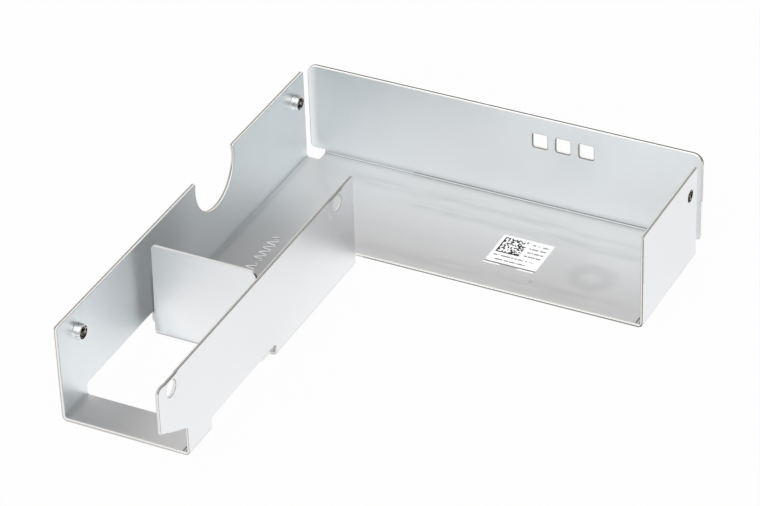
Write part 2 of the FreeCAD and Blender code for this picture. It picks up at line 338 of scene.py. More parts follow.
@dataclass(frozen=True)
class Fold:
    """One quarter-round fold of the sheet.

    axis is 0 where the wall lies across X and 1 where it lies across Y. face is
    the place of the wall's outer face along that axis, and inward the way from
    there to its inner face. low and high bound the wall in plan, span is where
    the fold starts and ends along its line. crease is how dark the two lines in
    its inner corner are, part press-brake mark and part painted shade, dull how
    dark the painted shade over the bend between them is, nick how dark a short
    line of painted shade beside its near end is, and hem how dark the painted
    shadow on the lower half of the outer bend is, all from 0 to 1. The second
    of the two lines starts at second, and the dull bend is narrower before it.
    """

    wall: Wall
    axis: int
    face: float
    inward: int
    low: Pair
    high: Pair
    span: Pair
    inner_radius: float
    sheet: float
    crease: float
    dull: float
    nick: float = 0.0
    hem_shadow: float = 0.0
    second: float = 0.0

    @property
    def line(self) -> float:
        """Place of the fold's middle on the flat blank, along its axis."""
        return self.face + self.inward * (self.outer_radius - self.half_arc)

    @property
    def half_arc(self) -> float:
        """Half the fold's length on the blank."""
        return self.neutral_radius * math.pi / 4

    @property
    def outer_radius(self) -> float:
        """Radius of the fold's outer face."""
        return self.inner_radius + self.sheet

    @property
    def neutral_radius(self) -> float:
        """Radius of the line that keeps its length in the fold."""
        return self.inner_radius + self.sheet / 2

    def inset(self, points: Array) -> Array:
        """Distance of points from the wall's outer face, inwards."""
        return (points[:, self.axis] - self.face) * self.inward

    def holds(self, points: Array) -> Array:
        """Which points belong to the wall or its fold, and not to the floor."""
        slack = 0.01 * MM
        x, y, z = points.T
        within = (x > self.low[0] - slack) & (x < self.high[0] + slack)
        within &= (y > self.low[1] - slack) & (y < self.high[1] + slack)
        above = z > self.outer_radius - slack
        return within & (above | (self.inset(points) < self.outer_radius - slack))

    def travel(self, points: Array) -> Array:
        """Length along the sheet from the fold's start on the floor to each point.

        In the fold it is the angle about the fold's centre times the neutral
        radius, and above it the height beyond the fold is added.
        """
        height = points[:, 2]
        across = np.maximum(self.outer_radius - self.inset(points), 1e-9)
        below = np.maximum(self.outer_radius - height, 1e-12)
        angle = np.where(height < self.outer_radius, np.arctan2(across, below), math.pi / 2)
        return self.neutral_radius * angle + np.maximum(height - self.outer_radius, 0.0)

    def depth(self, points: Array) -> Array:
        """Distance below the sheet's outer face, in sheet thicknesses."""
        across = self.outer_radius - self.inset(points)
        below = self.outer_radius - points[:, 2]
        in_fold = (self.outer_radius - np.hypot(across, below)) / self.sheet
        return np.where(points[:, 2] < self.outer_radius, in_fold, self.inset(points) / self.sheet)

    def unrolled(self, points: Array) -> Array:
        """Places of points on the flat blank, as plan coordinates."""
        flat = points[:, :2].copy()
        flat[:, self.axis] = self.face + self.inward * (self.outer_radius - self.travel(points))
        return flat


@dataclass(frozen=True)
class RimLine:
    """One dark line along a cut edge.

    place and width count in thicknesses. plain is how dark the line is anywhere,
    up how much darker on edges that face up, and away on those that face away.
    """

    place: float
    width: float
    plain: float
    up: float
    away: float


@dataclass(frozen=True)
class EdgeFinish:
    """Bare steel of the cut edges, with painted shade and painted highlights by which way
    each edge faces. Depths count in thicknesses, facings in parts of the normal.
    """

    steel: Colour = srgb(254, 253, 250)
    dull: Colour = srgb(172, 168, 162)
    line: Colour = srgb(92, 89, 84)
    up_facing: Pair = (0.15, 0.5)
    side_facing: Pair = (0.2, 0.6)
    right_facing: Pair = (0.4, 0.85)
    back_start: float = 117.5 * MM
    top_height: float = 22.0 * MM
    gap_height: float = 12.0 * MM
    gap_span: Pair = (-48.3 * MM, 50.0 * MM)
    tab_span: Pair = (-48.3 * MM, -20.6 * MM)
    pad_span: Pair = (-20.6 * MM, -18.5 * MM)
    pad_top: float = 23.8 * MM
    channel_right: float = -19.0 * MM
    wander: float = 0.06
    wander_size: float = 0.8 * MM
    shear: Pair = (0.46, 0.54)
    inner_rim: float = 0.97
    crown: Pair = (0.56, 0.64)
    sill: Pair = (0.55, 0.68)
    sill_depth: float = 0.85
    lower: Pair = (0.38, 0.50)
    lower_depth: float = 0.50
    lower_right: float = 0.40
    outer_line: RimLine = RimLine(0.05, 0.12, 0.25, 0.35, 0.0)
    shear_line: RimLine = RimLine(0.50, 0.14, 0.45, 0.45, 0.0)
    away_line: RimLine = RimLine(0.83, 0.14, 0.0, 0.0, 0.90)
    inner_line: RimLine = RimLine(0.95, 0.11, 0.30, 0.15, 0.50)
    line_soft: Pair = (0.33, 1.0)
    low_light: float = 0.85
    plain_light: float = 0.60
    plain_dull: float = 0.35
    glint_least: float = 0.15
    glint_floor: float = 0.4

    def wire(self, graph: Graph, depth: Field, on_floor: Field) -> tuple[Socket, Field]:
        """Colour and painted glint of the cut edges.

        Bare steel has a dark line where the shear broke through, darker on edges
        that face up as painted shade. Painted shade also makes fainter lines at
        both rims, strong ones on rims that face back, left or down, and the dull
        outer half on edges that face up, where the shear's rough half is. Painted
        shade darkens the outer halves of the floor's edges and the back wall's
        crest, the inner halves of its windows' sills, and high edges that face
        right, into a gap. The tab's top, the pads' holes and low edges that face
        right, under the flange, are kept light as painted light.

        Args:
            graph: the graph to add to.
            depth: distance below the sheet's outer face, in thicknesses.
            on_floor: one on the floor's edges, and zero on those of walls.

        Returns:
            The colour, and how strongly the edge glows as a painted highlight, from 0 to 1.
        """
        x, _, z = graph.split(graph.place())
        blank = graph.uv("blank")
        right, back, top = graph.normal()
        on_wall = 1 - on_floor
        up = top.ease(*self.up_facing) * on_wall
        low = right.ease(*self.side_facing) * (z < self.gap_height) * (x > self.gap_span[0])
        away = graph.most(back, -1 * right, -1 * top).ease(*self.side_facing) * on_wall
        rightward = right.ease(*self.right_facing) * on_wall
        on_back = graph.split(blank)[1] > self.back_start
        crest = on_back * (z > self.top_height)
        sill = on_back * (1 - crest) * up
        high = z > self.gap_height
        in_pad = x.within(self.pad_span) * (z < self.pad_top)
        plain = (x.within(self.tab_span) + in_pad) * high * (1 - on_back)
        plain = plain * on_wall * (1 - rightward)
        wander = depth + self.wander * graph.noise(blank, self.wander_size)
        outer = wander.fade(*self.shear)
        # Painted shade: high edges that face right into a gap, the back wall's crest, the windows'
        # sills and the outer halves of the floor's edges.
        gap = rightward * high * x.within(self.gap_span) * (depth < self.inner_rim)
        gap = gap * (1 - outer * on_back)
        crown = crest * graph.most(up, rightward) * wander.fade(*self.crown)
        lower = on_floor * (self.lower_depth + self.lower_right * (x > self.channel_right))
        lower = lower * wander.fade(*self.lower)
        dark = graph.most(gap, crown, self.sill_depth * sill * wander.ease(*self.sill), lower)
        # Dark lines along the edges: the shear line is real, and its extra darkness where edges
        # face up, the rim lines and the lines on rims that face away are painted shade.
        for line, share in ((self.outer_line, 1.0), (self.shear_line, (1 - sill) * on_wall),
                            (self.away_line, 1.0), (self.inner_line, 1 - crest)):
            strength = (line.plain + line.up * up + line.away * away) * share
            faded = ((wander - line.place) / line.width).fade(*self.line_soft)
            dark = graph.most(dark, strength * faded)
        # Painted light: low edges that face right under the flange, the tab's top and the pads'
        # holes are kept light.
        dark = dark * (1 - graph.most(self.low_light * low, self.plain_light * plain))
        # The shear's rough outer half, darkened only on edges that face up, which is painted shade.
        dull = up * (1 - on_back) * graph.most((1 - plain) * outer, self.plain_dull * plain)
        # Painted highlight: how strongly each edge glows, most where it faces up or low to the
        # right.
        glint = graph.most(up, low, self.glint_floor * on_floor)
        glint = self.glint_least + (1 - self.glint_least) * glint
        return graph.mix(self.steel, (dull, self.dull), (dark, self.line)), glint


@dataclass(frozen=True)
class FoldMarksAndShade:
    """Dark lines in the folds' inner corners, part press-brake mark and part painted
    shade, and painted shadow under their outer bends.

    Places and spans across a fold count in halves of its length on the blank.
    """

    line_place: float = 0.7
    line_soft: Pair = (0.08, 0.32)
    bend_soft: float = 0.9
    bend_growth: float = 0.6
    band_depth: float = 0.14
    band_soft: Pair = (0.8, 3.2)
    nick_length: float = 2.6 * MM
    nick_place: float = 1.75
    nick_soft: Pair = (0.12, 0.34)
    hem_shadow_start: float = -1.0
    hem_shadow_soft: Pair = (0.3, 1.1)

    def field(self, graph: Graph, inner: Field, folds: list[Fold]) -> Field:
        """How dark the marks and the painted shade are at the folds.

        Args:
            graph: the graph to add to.
            inner: one on the sheet's inner face, and zero on its outer one.
            folds: the folds to mark.

        Returns:
            Two thin lines where each bend starts and ends, a dull bend between
            them that is painted shade over its highlight, a soft band of painted
            shade over all and a short line of painted shade beside the near end.
            On the outer face, a painted shadow from the floor to the middle of the bend.
        """
        places = graph.split(graph.uv("blank"))
        marks = []
        for fold in folds:
            across = (places[fold.axis] - fold.line) * (-fold.inward / fold.half_arc)
            along = places[1 - fold.axis]
            near = along < fold.span[0] + self.nick_length
            doubled = along > fold.second
            growth = self.bend_growth * doubled
            mark = graph.most(
                fold.crease * (across + self.line_place).fade(*self.line_soft),
                fold.crease * (across - self.line_place).fade(*self.line_soft) * doubled,
                fold.dull * across.fade(growth, self.bend_soft + growth),
                self.band_depth * across.fade(*self.band_soft),
                fold.nick * near * (across + self.nick_place).fade(*self.nick_soft))
            hem_shadow = fold.hem_shadow * (1 - inner) * (across > self.hem_shadow_start)
            hem_shadow = hem_shadow * (1 - across.ease(*self.hem_shadow_soft))
            marks.append(along.within(fold.span) * graph.most(mark * inner, hem_shadow))
        return graph.most(*marks)


@dataclass(frozen=True)
class Stamp:
    """A plain zigzag of short stamped strokes on the channel's floor, placed on the flat blank;
    the material draws them as painted highlights, with a shifted copy as their painted shadow.
    """

    across: Pair = (9.2 * MM, 11.5 * MM)
    along: Pair = (66.0 * MM, 80.9 * MM)
    gap: Pair = (69.3 * MM, 70.6 * MM)
    pitch: float = 2.1 * MM
    slants: tuple[Pair, ...] = ((0.10, 0.0), (-0.52, 0.62))
    soft: Pair = (0.04, 0.09)
    faintest: float = 0.4
    shorter: float = 0.9 * MM
    short_share: float = 0.35
    seed_step: float = 17.3

    def field(self, graph: Graph, shift: float) -> Field:
        """How strong the strokes are, when they are moved along the channel by a shift."""
        x, y, _ = graph.split(graph.uv("blank"))
        strokes = []
        for slant, offset in self.slants:
            turns = (y - shift + slant * x) * (1 / self.pitch) + offset
            random = graph.chance(turns.floor() + self.seed_step * offset)
            start = self.across[0] + self.shorter * (random < self.short_share)
            strength = self.faintest + (1 - self.faintest) * random
            strokes.append((turns - turns.floor() - 0.5).fade(*self.soft) * strength * (x > start))
        within = (x < self.across[1]) * y.within(self.along) * (1 - y.within(self.gap))
        return graph.most(*strokes) * within


@dataclass(frozen=True)
class Smear:
    """One soft streaky smear that runs along X on the blank, from left to right at place."""

    left: float
    right: float
    place: float
    width: float
    depth: float


@dataclass(frozen=True)
class HandMarks:
    """Marks on the tray's floor, placed on the flat blank: a faint ring, a spot and smears."""

    ring_centre: Pair = (83.7 * MM, 94.8 * MM)
    ring_reach: Pair = (5.4 * MM, 5.1 * MM)
    ring_rise: Pair = (0.15, 0.65)
    ring_fall: Pair = (0.75, 1.35)
    ring_depth: float = 0.21
    wobble: float = 0.5
    wobble_size: float = 2.5 * MM
    spot_centre: Pair = (71.65 * MM, 87.9 * MM)
    spot_reach: Pair = (0.8 * MM, 0.8 * MM)
    spot_fall: Pair = (0.3, 1.3)
    spot_depth: float = 0.45
    streak_size: Point = (12 * MM, 1.8 * MM, 1.0)
    streak_rise: Pair = (-0.24, 0.16)
    smear_sides: Pair = (0.1, 1.3)
    smear_ends: Pair = (0.7, 1.1)
    smears: tuple[Smear, ...] = (
        Smear(8 * MM, 74 * MM, 111.2 * MM, 2.6 * MM, 0.26),
        Smear(26 * MM, 104 * MM, 106.3 * MM, 2.4 * MM, 0.26),
        Smear(70 * MM, 104 * MM, 110.0 * MM, 1.6 * MM, 0.16),
        Smear(24 * MM, 99 * MM, 86.3 * MM, 3.4 * MM, 0.24),
    )

    def field(self, graph: Graph) -> Field:
        """How strongly the surface is smudged, from 0 to 1."""
        blank = graph.uv("blank")
        x, y = graph.plan(blank, self.ring_centre, self.ring_reach)
        reach = (x * x + y * y).root() + self.wobble * graph.noise(blank, self.wobble_size)
        ring = reach.ease(*self.ring_rise) * reach.fade(*self.ring_fall)
        x, y = graph.plan(blank, self.spot_centre, self.spot_reach)
        spot = (x * x + y * y).root().fade(*self.spot_fall)
        return graph.most(self.ring_depth * ring, self.spot_depth * spot,
                          *(self.smear(graph, blank, smear) for smear in self.smears))

    def smear(self, graph: Graph, blank: Socket, smear: Smear) -> Field:
        """How dark one smear is: a band with soft sides and ends, broken into streaks."""
        middle = ((smear.left + smear.right) / 2, smear.place)
        x, y = graph.plan(blank, middle, ((smear.right - smear.left) / 2, smear.width))
        band = y.fade(*self.smear_sides) * x.fade(*self.smear_ends)
        streak = graph.noise(blank, self.streak_size, 4.0).ease(*self.streak_rise)
        return smear.depth * band * streak


@dataclass(frozen=True)
class SheetFinish:
    """Satin zinc plate over rolled steel, with bare metal on the cut edges, collars
    with painted patchy reflections, and painted shade and highlights.
    """

    plate: Colour = srgb(242, 248, 250)
    plate_dull: Colour = srgb(238, 244, 246)
    outer_tint: Colour = srgb(249, 249, 251)
    floor_tint: Colour = srgb(249, 244, 243)
    smudge: Colour = srgb(196, 197, 196)
    # Colour of the painted shade by the stop tab, at the folds, along the label and beside the
    # stamp's strokes.
    dark: Colour = srgb(99, 97, 95)
    collar_bright: Colour = srgb(254, 254, 254)
    collar_dark: Colour = srgb(150, 154, 156)
    tint_share: float = 0.8
    inner_side: Pair = (0.5, 0.95)
    roughness: float = 0.40
    cut_roughness: float = 0.45
    collar_roughness: float = 0.22
    cut_matt: float = 0.85
    # Strength of the painted glow on the cut edges and the stamp's strokes.
    cut_shine: float = 0.25
    cloud_size: float = 14 * MM
    cloud_tone: float = 1.5
    cloud_rough: float = 0.06
    grain_size: Point = (9 * MM, 0.25 * MM, 1.0)
    grain_tone: float = 0.3
    grain_rough: float = 0.04
    grain_height: float = 0.03 * MICRON
    ripple_size: float = 26 * MM
    ripple_height: float = 2.0 * MICRON
    stain_rough: float = 0.08
    # Random darker patches on the collars' barrels, a painted stand-in for their patchy
    # reflections.
    reflection_patch_size: Point = (0.9 * MM, 0.35 * MM, 0.35 * MM)
    reflection_patch_rise: Pair = (0.0, 0.18)
    reflection_patch_depth: float = 0.6
    # Painted shade on the left wall in the corner by the stop tab, and a painted dark reflection in
    # a strip beside the tab.
    corner_place: Point = (-50.0 * MM, -17.8 * MM, 18.0 * MM)
    corner_size: Point = (9.0 * MM, 18.0 * MM, 18.0 * MM)
    corner_fall: Pair = (0.45, 1.45)
    corner_depth: float = 0.22
    strip_right: float = -49.5 * MM
    strip_place: float = -14.1 * MM
    strip_sides: Pair = (0.3 * MM, 0.9 * MM)
    strip_top: Pair = (8 * MM, 22 * MM)
    strip_depth: float = 0.55
    # Painted shadow: a thin dark line along the label's front edge.
    label_shadow_across: Pair = (58.2 * MM, 71.0 * MM)
    label_shadow_along: Pair = (91.6 * MM, 92.1 * MM)
    label_shadow_depth: float = 0.75
    # Painted shadow of the stamp's strokes: the same strokes shifted along the channel and
    # darkened.
    stamp_shadow: float = -0.4 * MM
    shadow_depth: float = 0.35
    edges: EdgeFinish = EdgeFinish()
    fold_marks_and_shade: FoldMarksAndShade = FoldMarksAndShade()
    hand_marks: HandMarks = HandMarks()
    stamp: Stamp = Stamp()

    def material(self, folds: list[Fold]) -> Material:
        """Wire the finish.

        Args:
            folds: the folds, whose lines the plate shows.

        Returns:
            A material that reads the UV maps blank and cut of the sheet.
        """
        material, graph = new_material("zinc_plate")
        place, blank = graph.place(), graph.uv("blank")
        depth, kind, _ = graph.split(graph.uv("cut"))
        areas = (Area.WALL, Area.WALL_CUT, Area.FLOOR_CUT, Area.COLLAR)
        raised, cut, floor_cut, is_collar = (kind > area.value - 0.5 for area in areas)
        is_cut = cut - is_collar
        on_floor = floor_cut - is_collar
        is_floor = 1 - raised
        inner = depth.ease(*self.inner_side)

        cloud = graph.noise(place, self.cloud_size, 3.0)
        grain = graph.noise(blank, self.grain_size, 3.0)
        ripple = graph.noise(place, self.ripple_size, 1.0)
        stain = self.hand_marks.field(graph) * inner
        # The stamp's strokes are drawn white and glow faintly, a painted highlight; a shifted copy
        # beside them is their painted shadow.
        stamp = self.stamp.field(graph, 0.0) * inner * is_floor
        stroke_shadow = self.stamp.field(graph, self.stamp_shadow) * inner * is_floor * self.shadow_depth
        # Painted shade at the folds, and a painted shadow line along the label's front edge.
        lines = graph.most(self.fold_marks_and_shade.field(graph, inner, folds), self.label_shadow(graph) * inner)
        # Painted reflection: random darker patches over the collars' bright barrels.
        reflection_patch = graph.noise(place, self.reflection_patch_size).ease(*self.reflection_patch_rise)
        barrel = graph.mix(self.collar_bright, (self.reflection_patch_depth * reflection_patch, self.collar_dark))
        edge, glint = self.edges.wire(graph, depth, on_floor)
        colour = graph.mix(
            self.plate_dull, (0.5 + cloud * self.cloud_tone + grain * self.grain_tone, self.plate),
            ((1 - inner) * self.tint_share, self.outer_tint),
            (is_floor * self.tint_share, self.floor_tint),
            (stain, self.smudge), (self.corner(graph) * inner, self.dark), (lines, self.dark),
            (stroke_shadow, self.dark), (stamp, WHITE), (is_cut, edge), (is_collar, barrel))

        rough = self.roughness + self.cloud_rough * cloud + self.grain_rough * grain
        rough = rough + self.stain_rough * stain
        rough = rough + is_cut * (self.cut_roughness - self.roughness)
        rough = rough + is_collar * (self.collar_roughness - self.roughness)
        height = self.grain_height * grain + self.ripple_height * ripple
        graph.principled({
            "Base Color": colour, "Metallic": 1 - graph.most(stamp, self.cut_matt * is_cut),
            "Roughness": rough, "Normal": graph.bump(height),
            # Emission is painted light: the cut edges glow by their glint, and the stamp's strokes
            # glow white.
            "Emission Color": graph.mix(BLACK, (stamp, WHITE), (is_cut * glint, edge)),
            "Emission Strength": self.cut_shine})
        return material

    def corner(self, graph: Graph) -> Field:
        """How dark the painted shade is on the left wall in the corner by the stop tab,
        and in a strip beside it, a painted dark reflection of the tab's gap.
        """
        place = graph.place()
        nearness = graph.value("ShaderNodeVectorMath", "Value", {"operation": "LENGTH"},
                               {0: graph.map(place, self.corner_place, self.corner_size)})
        x, y, z = graph.split(place)
        strip = (x < self.strip_right) * (y - self.strip_place).fade(*self.strip_sides)
        strip = self.strip_depth * strip * z.fade(*self.strip_top)
        return graph.most(self.corner_depth * nearness.fade(*self.corner_fall), strip)

    def label_shadow(self, graph: Graph) -> Field:
        """A painted shadow line along the label's front edge."""
        x, y, _ = graph.split(graph.uv("blank"))
        return self.label_shadow_depth * (x.within(self.label_shadow_across) * y.within(self.label_shadow_along))


@dataclass(frozen=True)
class ThreadFinish:
    """The tapped bores, painted dark as the shade inside them, with lighter patches as painted
    glints.
    """

    # Painted shade of the bore, and painted glints on its thread.
    dark: Colour = srgb(40, 36, 32)
    bright: Colour = srgb(232, 222, 210)
    roughness: float = 0.22
    patch_size: float = 0.5 * MM
    patch_rise: Pair = (0.0, 0.14)
    patch_rough: float = 0.2

    def material(self) -> Material:
        """Wire the finish: painted shade with lighter patches of painted glint."""
        material, graph = new_material("tapped_steel")
        patch = graph.noise(graph.place(), self.patch_size)
        graph.principled({
            "Base Color": graph.mix(self.dark, (patch.ease(*self.patch_rise), self.bright)),
            "Metallic": 1.0, "Roughness": self.roughness + self.patch_rough * patch})
        return material


@dataclass(frozen=True)
class Bore:
    """One tapped bore of the record, whose axis lies along X."""

    name: str
    centre: Array
    radius: float
    half: float

    def holds(self, points: Array, reach: float, outer: float, inner: float = -1.0) -> Array:
        """Which points lie within a reach of the middle along the axis, and between two radii."""
        away = points - self.centre
        radius = np.hypot(away[:, 1], away[:, 2])
        return (np.abs(away[:, 0]) < reach) & (radius < outer) & (radius > inner)


@dataclass(frozen=True)
class Rim:
    """One pass of rounding: its radius, and the depths in thicknesses between which it acts."""

    radius: float
    low: float
    high: float


@dataclass
class FoldedSheet:
    """The bracket itself: one folded sheet with three tapped collars and two drawn pads."""

    sheet: float = 0.8 * MM
    inner_bend: float = 0.5 * MM
    channel_width: float = 31.75 * MM
    tab_front: float = 36.0 * MM
    tab_span: Pair = (3.0 * MM, 29.85 * MM)
    flange_end: float = 78.9 * MM
    tray_front: float = 82.4 * MM
    second_crease: float = 27.5 * MM
    ear_reach: float = 11.1 * MM
    rims: tuple[Rim, ...] = (
        Rim(0.26 * MM, 0.2, 0.8), Rim(0.10 * MM, -9.0, 0.2), Rim(0.26 * MM, 0.8, 9.0))
    rim_steps: int = 3
    flat_angle: float = math.radians(0.5)
    cut_angle: float = math.radians(60)
    smooth_angle: float = math.radians(38)
    slack: float = 0.02 * MM
    collar_reach: float = 2.6 * MM
    collar_root: float = 2.5 * MM
    collar_radius: float = 1.95 * MM
    collar_mouth: float = 0.35 * MM
    collar_wall: float = 0.6 * MM
    root_radius: float = 0.6 * MM
    root_share: float = 0.35
    thread_pitch: float = 0.5 * MM
    thread_depth: float = 0.25 * MM
    thread_rows: int = 52
    groove_gain: float = 1.25
    groove_crest: float = 0.12
    finish: SheetFinish = SheetFinish()
    thread_finish: ThreadFinish = ThreadFinish()

    def build(self) -> Object:
        """Make the finished sheet.

        Returns:
            The piece that stands for the CAD node folded_bracket.
        """
        form = bmesh.new()
        form.from_mesh(frame["nodes"]["folded_bracket"].data)
        bmesh.ops.remove_doubles(form, verts=form.verts, dist=MICRON)
        bmesh.ops.dissolve_limit(form, angle_limit=self.flat_angle,
                                 verts=form.verts, edges=form.edges)
        for bore in self.bores():
            self.tighten_root(form, bore)
            self.cut_thread(form, bore)
        folds = self.folds(*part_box("folded_bracket"))
        self.soften_rims(form, folds)
        mesh = bpy.data.meshes.new("zinc_sheet")
        form.to_mesh(mesh)
        form.free()
        self.map_blank(mesh, folds)
        mesh.shade_smooth()
        mesh.set_sharp_from_angle(angle=self.smooth_angle)
        piece = show(mesh, "folded_sheet", self.finish.material(folds),
                     self.thread_finish.material())
        weighted = piece.modifiers.new("even_normals", "WEIGHTED_NORMAL")
        weighted.keep_sharp = True
        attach(piece, BODY)
        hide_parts("folded_bracket")
        log.info("folded sheet: %d vertices, %d faces", len(mesh.vertices), len(mesh.polygons))
        return piece

    def bores(self) -> list[Bore]:
        """The record's tapped bores."""
        mounts = [mount for mount in frame["record"]["mounts"] if mount["kind"] == "threaded_hole"]
        return [Bore(mount["name"], np.array(mount["pos_m"]), mount["dims"]["r_mm"] * MM,
                     mount["dims"]["length_mm"] * MM / 2) for mount in mounts]

    def zero(self) -> Array:
        """The channel's near left corner, from which the folds are measured."""
        low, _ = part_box("folded_bracket")
        return np.array([low.x, low.y + self.ear_reach, 0.0])

    def soften_rims(self, form: Form, folds: list[Fold]) -> None:
        """Round the cut edges: their corners, then their outer rims, then their inner rims.

        Args:
            form: the sheet's mesh, whose new faces are marked in the layer rim.
            folds: the folds, which tell outer from inner.
        """
        mark = form.faces.layers.int.new("rim")
        zero = self.zero()
        for rim in self.rims:
            edges = [edge for edge in form.edges
                     if len(edge.link_faces) == 2 and edge.calc_face_angle() > self.cut_angle]
            middles = np.array([(e.verts[0].co + e.verts[1].co) / 2 for e in edges])
            depth = self.unroll(middles - zero, folds)[1]
            for bore in self.bores():
                depth[bore.holds(middles, self.collar_reach, self.collar_root)] = 0.0
            cut = [edge for edge, d in zip(edges, depth) if rim.low < d < rim.high]
            made = bmesh.ops.bevel(
                form, geom=cut, offset=rim.radius, offset_type="OFFSET", affect="EDGES",
                segments=self.rim_steps, profile=0.5, clamp_overlap=False, loop_slide=True)
            for face in made["faces"]:
                face[mark] = 1
            log.info("rims of %.2f mm: %d edges", rim.radius / MM, len(cut))

    def unroll(self, points: Array, folds: list[Fold]) -> tuple[Array, Array]:
        """Places of points on the flat blank, and depths in thicknesses below the outer face."""
        flat = points[:, :2].copy()
        depth = points[:, 2] / self.sheet
        free = np.ones(len(points), bool)
        for fold in folds:
            here = free & fold.holds(points)
            flat[here] = fold.unrolled(points[here])
            depth[here] = fold.depth(points[here])
            free &= ~here
        return flat, depth

    def tighten_root(self, form: Form, bore: Bore) -> None:
        """Shrink the round at the root of one collar to a share of its size.

        Args:
            form: the sheet's mesh.
            bore: the collar's bore.
        """
        low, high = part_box("folded_bracket")
        _, mid_y, mid_z = bore.centre
        barrel = bore.radius + self.collar_wall
        side = 1 if bore.centre[0] > 0 else -1
        face = (high.x if side > 0 else -low.x) - self.sheet
        reach = self.root_radius + self.slack
        for vertex in form.verts:
            y, z = vertex.co.y - mid_y, vertex.co.z - mid_z
            radius = math.hypot(y, z)
            above = face - side * vertex.co.x
            if -self.slack < above < reach and barrel - self.slack < radius < barrel + reach:
                shrunk = (barrel + (radius - barrel) * self.root_share) / radius
                x = side * (face - above * self.root_share)
                vertex.co = (x, mid_y + y * shrunk, mid_z + z * shrunk)

    def cut_thread(self, form: Form, bore: Bore) -> None:
        """Replace one smooth bore by a thread, and give its whole mouth the thread's finish,
        painted shade with painted glints.

        Args:
            form: the sheet's mesh.
            bore: the bore to replace.
        """
        form.verts.index_update()
        places = np.array([vertex.co for vertex in form.verts])
        reach, outer = bore.half + self.slack, bore.radius + self.slack
        on_bore = bore.holds(places, reach, outer, bore.radius - self.slack)
        in_mouth = bore.holds(places, reach + self.collar_mouth, outer + self.collar_mouth)
        # The whole mouth takes the bore's painted shade.
        for face in form.faces:
            if all(in_mouth[v.index] for v in face.verts):
                face.material_index = Slot.THREAD.value
        inside = [face for face in form.faces if all(on_bore[v.index] for v in face.verts)]
        mouth = np.array([v.co for face in inside for v in face.verts])
        bmesh.ops.delete(form, geom=inside, context="FACES_ONLY")
        start = mouth[mouth[:, 0] < bore.centre[0]] - bore.centre
        angles = np.unique(np.round(np.arctan2(start[:, 2], start[:, 1]), 5))
        thread = self.thread_surface(angles, bore)
        form.from_mesh(thread)
        bpy.data.meshes.remove(thread)
        bmesh.ops.remove_doubles(form, verts=form.verts, dist=5 * MICRON)
        log.info("thread %s: %d columns", bore.name, len(angles))

    def thread_surface(self, angles: Array, bore: Bore) -> Mesh:
        """Wall of a tapped bore along X.

        The radius is the bore plus a V-shaped groove: a triangle wave of the
        distance along the axis in pitches less the angle in turns, which makes
        the thread right-handed. The groove fades out at both ends.

        Args:
            angles: the angles of the bore's edge points about the axis.
            bore: the bore.

        Returns:
            A mesh whose first and last rows lie on the bore's edges.
        """
        along = np.linspace(-bore.half, bore.half, self.thread_rows)
        distance, angle = np.meshgrid(along, angles, indexing="ij")
        phase = np.mod(distance / self.thread_pitch - angle / (2 * math.pi), 1.0)
        groove = 1.0 - np.abs(2.0 * phase - 1.0)
        groove = np.clip(self.groove_gain * groove - self.groove_crest, 0.0, 1.0)
        fade = np.clip((bore.half - np.abs(distance)) / (0.5 * self.thread_pitch), 0.0, 1.0)
        radius = bore.radius + self.thread_depth * groove * fade
        y, z = radius * np.cos(angle), radius * np.sin(angle)
        grid = np.stack([distance, y, z], axis=2) + bore.centre
        faces = ring_faces(len(along), len(angles))
        mesh = bpy.data.meshes.new("thread")
        mesh.from_pydata(grid.reshape(-1, 3), [], faces.tolist())
        mesh.polygons.foreach_set("material_index", np.full(len(faces), Slot.THREAD.value))
        return mesh

    def folds(self, low: Vector, high: Vector) -> list[Fold]:
        """The folds of the blank, in coordinates counted from the channel's near left corner.

        Args:
            low: the bracket's lowest corner.
            high: the bracket's highest corner.

        Returns:
            One fold for each wall and one for the tab.
        """
        width = high.x - low.x
        length = high.y - low.y - self.ear_reach
        thick = self.collar_reach + self.sheet
        bend = self.inner_bend + self.sheet
        back = length - bend
        channel, tab = self.channel_width, self.tab_front
        tab_left, tab_right = self.tab_span
        radii = {"inner_radius": self.inner_bend, "sheet": self.sheet}
        # Strengths of the lines and painted shade at each fold, and of the painted shadow under its
        # outer bend.
        marks = {"crease": 0.7, "dull": 0.3, "nick": 0.9, "hem_shadow": 0.3, **radii}
        return [
            Fold(Wall.BACK, 1, length, -1, (0.0, back), (width, length), (0.0, width),
                 crease=0.85, dull=0.28, second=self.second_crease, **radii),
            Fold(Wall.LEFT, 0, 0.0, 1, (0.0, 0.0), (thick, back), (0.0, back),
                 crease=0.05, dull=0.26, **radii),
            Fold(Wall.TRAY, 0, width, -1, (width - thick, 0.0), (width, back),
                 (self.tray_front, back), **marks),
            Fold(Wall.FLANGE, 0, channel, -1, (channel - bend, -self.ear_reach),
                 (channel + self.sheet, back), (0.0, self.flange_end), **marks),
            Fold(Wall.TAB, 1, tab, 1, (tab_left, tab), (tab_right, tab + bend), self.tab_span,
                 crease=0.5, dull=0.3, hem_shadow=0.6, **radii),
        ]

